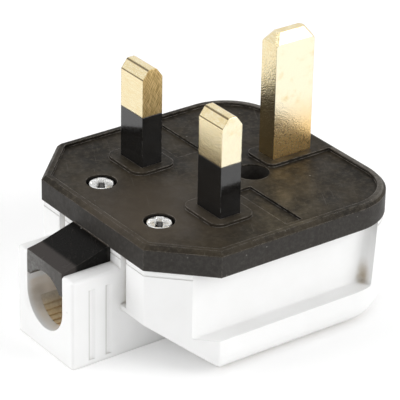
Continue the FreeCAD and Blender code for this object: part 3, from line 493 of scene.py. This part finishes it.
def grimy_shaded_cover_colour(tree, place, colour):
    """A colour with grime and painted shade in hollows and finger-recess corners, and painted shade in
    nooks and on the outlet's groove flanks.
    """
    patches = remap(tree, noise(tree, place, scale=0.7, detail=4.0), 0.25, 0.65)
    # Hollows and the finger recess's corners: grime, and painted shade
    hollow_shade = times(tree, remap(tree, openness(tree, reach=2.2), 0.42, 0.10), patches, 0.6)
    from_corner = distance(tree, mirrored(tree, place), FINGER_RECESS_CORNER, stretch=(0.8, 1, 0.3))
    corner_patches = remap(tree, patches, 0.0, 1.0, 0.55, 0.9)
    corner = times(tree, remap(tree, from_corner, 1.6, 0.1), corner_patches)
    colour = blend(tree, maths(tree, "MAXIMUM", hollow_shade, corner), colour, COVER_GRIME_AND_SHADE)
    # Painted shade in nooks, where the surroundings close in
    nook_shade = remap(tree, openness(tree, reach=0.7), 0.90, 0.60, 0.0, 0.34)
    colour = blend(tree, nook_shade, colour, COVER_NOOK_SHADE)
    # Painted shade on the groove flanks that face back, away from the lamps
    shaded_flank = remap(tree, axis_of(tree, surface_normal(tree), "Y"), 0.35, 0.5)
    on_outlet = remap(tree, axis_of(tree, place, "Y"), OUTLET_SHOULDER + 1.0, OUTLET_SHOULDER)
    return blend(tree, times(tree, shaded_flank, on_outlet, 0.7), colour, COVER_FLANK_SHADE)


def cover_material():
    """White semi-gloss moulding, stained and grimy in places, with painted shade in hollows, nooks and on
    groove flanks.
    """
    material, tree, shader = new_material("cover_moulding")
    place = position(tree)
    tint = remap(tree, noise(tree, place, scale=0.12), 0.3, 0.7)
    colour = blend(tree, tint, COVER_DULL, COVER_WHITE)
    colour = stained_shaded_cover_colour(tree, place, colour)
    colour = grimy_shaded_cover_colour(tree, place, colour)
    marks = times(tree, specks(tree, place, scale=0.3, share=0.04, size=0.07), 0.5)
    colour = blend(tree, marks, colour, COVER_SPECK)
    rough = remap(tree, noise(tree, place, scale=0.4), 0.3, 0.7, 0.30, 0.42)
    set_shader(tree, shader, Base_Color=colour, Roughness=rough, Specular_IOR_Level=0.4)
    grain = noise(tree, place, scale=3.0, detail=4.0)
    set_shader(tree, shader, Normal=bump(tree, grain, depth=0.008, radius=0.2))
    return material


def sleeve_material():
    """Glossy black insulation with faint flow lines, edges rubbed and painted with highlights, and a
    little dust.
    """
    material, tree, shader = new_material("sleeve_insulation")
    place = position(tree)
    tint = remap(tree, noise(tree, place, scale=0.5), 0.3, 0.7)
    colour = blend(tree, tint, SLEEVE_BLACK, SLEEVE_CHARCOAL)
    patches = remap(tree, noise(tree, place, scale=1.1, detail=5.0, roughness=0.7), 0.48, 0.66)
    # Pale edges: rubbed wear, and painted highlights
    edges = edge_mask(tree, radius=0.25, low=0.02, high=0.2)
    colour = blend(tree, times(tree, edges, patches, 0.75), colour, SLEEVE_RUBBED_HIGHLIGHT)
    dust = times(tree, specks(tree, place, scale=0.8, share=0.05, size=0.12), 0.35)
    colour = blend(tree, dust, colour, SLEEVE_DUST)
    flow = noise(tree, position(tree, stretch=(4, 4, 0.25)), scale=1.0)
    rough = remap(tree, noise(tree, place, scale=1.3, detail=4.0), 0.35, 0.8, 0.07, 0.17)
    set_shader(tree, shader, Base_Color=colour, Roughness=rough, IOR=1.72)
    set_shader(tree, shader, Normal=bump(tree, flow, depth=0.004, radius=0.15))
    return material


def saw_marks(tree):
    """Fine strokes that cross at a slant."""
    stretch = (1, 7.0, 0.45)
    strokes = noise(tree, position(tree, stretch, turn=(24, 0, 0)), scale=1.0, roughness=0.6)
    crossing = noise(tree, position(tree, stretch, turn=(-32, 0, 0)), scale=1.0, roughness=0.6)
    return add_scaled(tree, strokes, 0.6, times(tree, crossing, 0.4))


def add_bevel_shade_lines(tree, tint, height, bevel_shade_lines, wide):
    """A tint with a dark line of painted shade at each given height on the wide faces."""
    # Painted shade: a dark line at each of the bevel's edges
    for bevel_shade_line in bevel_shade_lines:
        gap = maths(tree, "ABSOLUTE", maths(tree, "SUBTRACT", height, bevel_shade_line))
        line = times(tree, remap(tree, gap, 0.14, 0.05), wide, 0.85)
        tint = blend(tree, line, tint, BRASS_BEVEL_SHADE)
    return tint


def brass_material(name, colour, tarnish_shade=0.0, reach=0.0, marks=0.0, bevel_shade_lines=(), roughness=0.11, soft=0.1):
    """Bright brass, finely brushed and pitted, with sawn ends, painted shade lines at its top bevel and
    painted shade along its edges.

    It is tarnished, with painted shade, up to a reach above the base, and its edges are rounded by a
    softness.
    """
    material, tree, shader = new_material(name)
    place = position(tree)
    height = axis_of(tree, place, "Z")
    shade = tuple(channel * factor for channel, factor in zip(colour, BRASS_SHADE)) + (1,)
    cloud = remap(tree, noise(tree, place, scale=0.45, detail=4.0), 0.50, 0.85)
    tint = blend(tree, cloud, colour + (1,), shade)
    narrow = remap(tree, facing(tree, "X"), 0.8, 0.95)
    wide = maths(tree, "SUBTRACT", 1.0, narrow)
    # Lower down: tarnish, and painted shade deepening towards the base
    low = times(tree, remap(tree, height, PLATE_TOP + reach, PLATE_TOP + reach - TARNISH_SHADE_FADE), tarnish_shade)
    if bevel_shade_lines:
        low = times(tree, low, wide)
    tint = blend(tree, low, tint, BRASS_TARNISH_SHADE)
    fine = noise(tree, place, scale=5.5, roughness=0.6)
    brushed = noise(tree, position(tree, stretch=(0.6, 0.6, 7.0)), scale=1.0, detail=4.0, roughness=0.65)
    grain = add_scaled(tree, times(tree, brushed, wide), 0.5, times(tree, fine, 0.75))
    tint = blend(tree, remap(tree, grain, 0.42, 0.72, 0.0, 0.85), tint, shade)
    stains = times(tree, specks(tree, place, scale=0.7, share=0.05, size=0.10), 0.2)
    tint = blend(tree, stains, tint, BRASS_STAIN)
    sawn = saw_marks(tree)
    cut = times(tree, narrow, marks)
    sawn_tint = blend(tree, remap(tree, sawn, 0.41, 0.60), SAWN_PALE, SAWN_DARK)
    tint = blend(tree, cut, tint, sawn_tint)
    tint = add_bevel_shade_lines(tree, tint, height, bevel_shade_lines, wide)
    # Painted shade: dark lines along the sharp edges
    edges = times(tree, edge_mask(tree, radius=0.13, low=0.02, high=0.15), 0.55)
    tint = blend(tree, edges, tint, BRASS_EDGE_SHADE)
    haze = noise(tree, place, scale=2.0, detail=4.0)
    rough = remap(tree, haze, 0.3, 0.75, roughness, roughness + 0.10)
    rough = add_scaled(tree, cut, 0.25, rough)
    rough = add_scaled(tree, times(tree, low, narrow), 0.16, rough)
    pits = noise(tree, place, scale=3.9, detail=2.0, roughness=0.5)
    relief = add_scaled(tree, grain, 0.2, pits)
    relief = add_scaled(tree, times(tree, sawn, cut), 0.6, relief)
    set_shader(tree, shader, Base_Color=tint, Metallic=1.0, Roughness=rough)
    set_shader(tree, shader, Normal=bump(tree, relief, depth=0.034, radius=soft))
    return material


def plated_material(name, colour, roughness, recess_top=None):
    """Bright mottled plating, with painted shade in its hollows or, where a recess's top is given, deep
    down in it.
    """
    material, tree, shader = new_material(name)
    place = position(tree)
    dull = tuple(channel * PLATED_SHADE for channel in colour) + (1,)
    mottle = noise(tree, place, scale=2.4, detail=4.0, roughness=0.65)
    tint = blend(tree, remap(tree, mottle, 0.42, 0.68), colour + (1,), dull)
    # Painted shade, near black, in the hollows or deep in the cross recess
    if recess_top is None:
        shade_mask = remap(tree, openness(tree, reach=0.9), 0.74, 0.42, 0.0, 0.95)
    else:
        start = recess_top - CROSS_SHADE_START
        full = recess_top - CROSS_SHADE_FULL
        shade_mask = remap(tree, axis_of(tree, place, "Z"), start, full, 0.0, 0.92)
    tint = blend(tree, shade_mask, tint, PLATED_HOLLOW_SHADE)
    rough = remap(tree, noise(tree, place, scale=4.0), 0.3, 0.7, roughness, roughness + 0.14)
    set_shader(tree, shader, Base_Color=tint, Metallic=1.0, Roughness=rough)
    set_shader(tree, shader, Normal=bump(tree, mottle, depth=0.02, radius=0.15))
    return material


def plain_material(name, dark, pale, scale, roughness, depth):
    """A dull material that varies between two colours, with a grain of its own."""
    material, tree, shader = new_material(name)
    grain = noise(tree, position(tree), scale, detail=5.0, roughness=0.65)
    tint = blend(tree, remap(tree, grain, 0.35, 0.65), dark, pale)
    rough = remap(tree, grain, 0.3, 0.7, roughness, roughness + 0.15)
    set_shader(tree, shader, Base_Color=tint, Roughness=rough)
    set_shader(tree, shader, Normal=bump(tree, grain, depth, radius=0.1))
    return material


def liner_material():
    """Tan fibre, with painted shade that greys it towards the top."""
    material, tree, shader = new_material("liner_fibre")
    place = position(tree)
    grain = noise(tree, place, scale=1.4, detail=5.0, roughness=0.65)
    patches = remap(tree, grain, 0.35, 0.65)
    tan = blend(tree, patches, LINER_TAN_DARK, LINER_TAN_PALE)
    top_shade = blend(tree, patches, LINER_SHADE_DARK, LINER_SHADE_PALE)
    # Painted shade: greyer towards the top, under the tongue
    colour = blend(tree, remap(tree, axis_of(tree, place, "Z"), LINER_FOOT, LINER_TOP), tan, top_shade)
    rough = remap(tree, grain, 0.3, 0.7, 0.5, 0.65)
    set_shader(tree, shader, Base_Color=colour, Roughness=rough)
    set_shader(tree, shader, Normal=bump(tree, grain, depth=0.02, radius=0.12))
    return material


def pin_materials():
    """The finish of each brass pin."""
    pin_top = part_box("live_pin")[1].z / MM
    line_pin = {"bevel_shade_lines": (pin_top - UPPER_BEVEL_SHADE, pin_top - LOWER_BEVEL_SHADE), "soft": 0.3}
    worn = {"tarnish_shade": 0.65, "reach": 15.5, "marks": 0.1, "roughness": 0.12}
    return {
        "earth_pin": brass_material("earth_pin_brass", PIN_BRASS, tarnish_shade=0.9, reach=12.0),
        "neutral_pin": brass_material("neutral_pin_brass", PIN_BRASS, **worn, **line_pin),
        "live_pin": brass_material("live_pin_brass", PIN_BRASS, marks=1.0, **line_pin),
    }


def paint(node, material):
    """Gives a CAD node its finish."""
    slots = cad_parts[node].data.materials
    slots.clear()
    slots.append(material)


def finish_nodes():
    """Paints every CAD node, and gives back the finish of the cord-grip screws."""
    inner_brass = brass_material("terminal_brass", INNER_BRASS, roughness=0.22)
    zinc = plated_material("bright_zinc", ZINC, roughness=0.2)
    screw_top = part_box("cord_grip_screws")[1].z / MM
    screw_zinc = plated_material("screw_zinc", SCREW_ZINC, roughness=0.22, recess_top=screw_top)
    nickel = plated_material("fuse_cap_nickel", NICKEL, roughness=0.14)
    coarse = {"scale": 3.0, "roughness": 0.6, "depth": 0.03}
    fibre = plain_material("grip_fibre", FIBRE_DARK, FIBRE_PALE, **coarse)
    smooth = {"scale": 1.5, "roughness": 0.5, "depth": 0.01}
    ceramic = plain_material("fuse_ceramic", CERAMIC_DARK, CERAMIC_PALE, **smooth)
    sleeve = sleeve_material()
    finishes = {
        "base": base_material(),
        "cover": cover_material(),
        "neutral_sleeve": sleeve,
        "live_sleeve": sleeve,
        "fuse_barrel": ceramic,
        "fuse_cap_pin_side": nickel,
        "fuse_cap_terminal_side": nickel,
        "outlet_liner": liner_material(),
        "cord_grip_bar": fibre,
        "screw_retainer": fibre,
        "cord_grip_screws": screw_zinc,
        "cover_screw": zinc,
    }
    finishes.update(pin_materials())
    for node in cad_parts:
        paint(node, finishes.get(node, inner_brass))
    return screw_zinc


def smooth_step(value, low, high):
    """0 below a limit, 1 above another, and a smooth rise between them."""
    share = min(max((value - low) / (high - low), 0.0), 1.0)
    return share * share * (3 - 2 * share)


def cross_recess(x, y, turn):
    """The depth in millimetres of a tapered cross recess, deepest in the middle."""
    along = x * math.cos(turn) + y * math.sin(turn)
    across = y * math.cos(turn) - x * math.sin(turn)
    first = max(abs(along) - CROSS_REACH, abs(across) - CROSS_HALF)
    second = max(abs(across) - CROSS_REACH, abs(along) - CROSS_HALF)
    taper = 1.0 - CROSS_TAPER * min(math.hypot(x, y) / CROSS_REACH, 1.0)
    return CROSS_DEPTH * taper * smooth_step(-min(first, second), CROSS_WALL_OUTER, CROSS_WALL_INNER)


def screw_rings(head, length):
    """Rings of (radius, drop below the top) from the middle of a domed head to the screw's tip.

    A thread ring has no radius of its own, because it winds round the shank.
    """
    under = SCREW_HEAD_DEPTH
    steps = SCREW_DOME_STEPS
    dome = [(head * step / steps, SCREW_DOME * (step / steps) ** 2) for step in range(1, steps - 2)]
    rim = [(head * share, drop) for share, drop in SCREW_RIM]
    edge = [(head, under - SCREW_UNDER_EDGE), (head * SCREW_UNDER_SHARE, under)]
    neck = [(SCREW_SHANK, under), (SCREW_SHANK * NECK_SHARE, under + NECK_DROP)]
    count = int((length - under) / THREAD_PITCH * THREAD_STEPS) - TIP_RINGS
    thread = [(None, under + THREAD_START + THREAD_PITCH * step / THREAD_STEPS) for step in range(count)]
    tip = [(SCREW_SHANK * TIP_SHARE, length - TIP_DROP)]
    return dome + rim + edge + neck + thread + tip


def thread_radius(drop, step):
    """The radius of the shank's thread at a drop below the top and a step round it."""
    phase = (drop / THREAD_PITCH - step / SCREW_SIDES) % 1.0
    return SCREW_SHANK * (THREAD_ROOT + THREAD_RISE * (1 - abs(2 * phase - 1)))


def add_screw(shape, x, y, top, turn, rings):
    """Adds one screw, standing upright with its head up, to a mesh."""
    previous = None
    centre = shape.verts.new((x * MM, y * MM, (top - cross_recess(0, 0, turn)) * MM))
    for radius, drop in rings:
        ring = []
        for step in range(SCREW_SIDES):
            angle = 2 * math.pi * step / SCREW_SIDES
            wide = thread_radius(drop, step) if radius is None else radius
            dx = wide * math.cos(angle)
            dy = wide * math.sin(angle)
            sunk = cross_recess(dx, dy, turn) if drop < SCREW_TOP_END else 0.0
            ring.append(shape.verts.new(((x + dx) * MM, (y + dy) * MM, (top - drop - sunk) * MM)))
        for step in range(SCREW_SIDES):
            after = (step + 1) % SCREW_SIDES
            if previous:
                shape.faces.new((previous[step], ring[step], ring[after], previous[after]))
            else:
                shape.faces.new((centre, ring[step], ring[after]))
        previous = ring
    shape.faces.new(list(reversed(previous)))


def make_grip_screws(zinc):
    """The two cord-grip screws, with domed heads, deep cross recesses and threads."""
    low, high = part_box("cord_grip_screws")
    seat = (high.y - low.y) / MM / 2
    middle = (high.y + low.y) / MM / 2
    reach = high.x / MM - seat
    top = high.z / MM
    rings = screw_rings(seat - SCREW_HEAD_CLEARANCE, (high.z - low.z) / MM)
    shape = bmesh.new()
    for sign, turn in CROSS_TURNS.items():
        add_screw(shape, sign * reach, middle, top, turn, rings)
    mesh = bpy.data.meshes.new("cord_grip_screw_pair")
    shape.to_mesh(mesh)
    shape.free()
    mesh.polygons.foreach_set("use_smooth", [True] * len(mesh.polygons))
    mesh.materials.append(zinc)
    screws = bpy.data.objects.new("cord_grip_screw_pair", mesh)
    bpy.context.scene.collection.objects.link(screws)
    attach(screws, "root")
    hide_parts("cord_grip_screws")


def make_camera():
    """The camera, at the photograph's place and angle."""
    azimuth = math.radians(CAMERA_AZIMUTH)
    elevation = math.radians(CAMERA_ELEVATION)
    roll = math.radians(CAMERA_ROLL)
    turn = Euler((math.pi / 2 - elevation, 0, azimuth)).to_matrix() @ Matrix.Rotation(-roll, 3, "Z")
    camera = bpy.data.objects.new("camera", bpy.data.cameras.new("camera"))
    camera.data.lens = LENS
    camera.data.sensor_width = SENSOR
    place = Vector(CAMERA_TARGET) * MM + turn @ Vector((0, 0, CAMERA_DISTANCE * MM))
    camera.matrix_world = Matrix.Translation(place) @ turn.to_4x4()
    bpy.context.scene.collection.objects.link(camera)
    bpy.context.scene.camera = camera


def seen_ray(tree):
    """1 for what the camera sees straight, in a reflection or through glass."""
    ray = add_node(tree, "LightPath").outputs
    seen = maths(tree, "MAXIMUM", ray["Is Camera Ray"], ray["Is Glossy Ray"])
    return maths(tree, "MAXIMUM", seen, ray["Is Transmission Ray"])


def make_floor():
    """A pale floor, lifted to white where it is seen, that keeps the plug's shadow."""
    half = FLOOR_SIZE / 2
    corners = [(-half, -half, 0), (half, -half, 0), (half, half, 0), (-half, half, 0)]
    mesh = bpy.data.meshes.new("floor")
    mesh.from_pydata(corners, [], [(0, 1, 2, 3)])
    floor = bpy.data.objects.new("floor", mesh)
    bpy.context.scene.collection.objects.link(floor)
    material, tree, shader = new_material("floor_white")
    lift = times(tree, seen_ray(tree), FLOOR_LIFT)
    set_shader(tree, shader, Base_Color=FLOOR_COLOUR, Roughness=0.9, Specular_IOR_Level=0.0)
    set_shader(tree, shader, Emission_Color=WHITE, Emission_Strength=lift)
    mesh.materials.append(material)


def make_world():
    """White studio walls, dimmer on one side, under a darker ceiling."""
    world = bpy.data.worlds.new("studio")
    bpy.context.scene.world = world
    world.use_nodes = True
    tree = world.node_tree
    outward = add_node(tree, "TexCoord").outputs["Generated"]
    side = vector_maths(tree, "DOT_PRODUCT", outward, WALL_DIM_SIDE).outputs["Value"]
    wall = remap(tree, side, WALL_DIM_START, WALL_DIM_FULL, WALL_LEVEL, WALL_LEVEL - WALL_DIM)
    level = remap(tree, axis_of(tree, outward, "Z"), WALL_TOP, CEILING_START, wall, CEILING_LEVEL)
    background = tree.nodes["Background"]
    feed(tree, background.inputs["Color"], WHITE)
    feed(tree, background.inputs["Strength"], level)


def make_lamp(name, place, size, power, reflected):
    """A square softbox that faces the plug, and may show in its shiny faces."""
    lamp = bpy.data.lights.new(name, "AREA")
    lamp.size = size
    lamp.energy = power
    softbox = bpy.data.objects.new(name, lamp)
    softbox.location = place
    softbox.visible_glossy = reflected
    softbox.rotation_euler = (Vector(place) - Vector(LAMP_AIM)).to_track_quat("Z", "Y").to_euler()
    bpy.context.scene.collection.objects.link(softbox)


def make_studio():
    """The floor, walls and lamps round the plug."""
    make_floor()
    make_world()
    for name, settings in LAMPS.items():
        make_lamp(name, *settings)
    bpy.context.scene.view_settings.view_transform = "Standard"


make_grip_screws(finish_nodes())
make_studio()
make_camera()
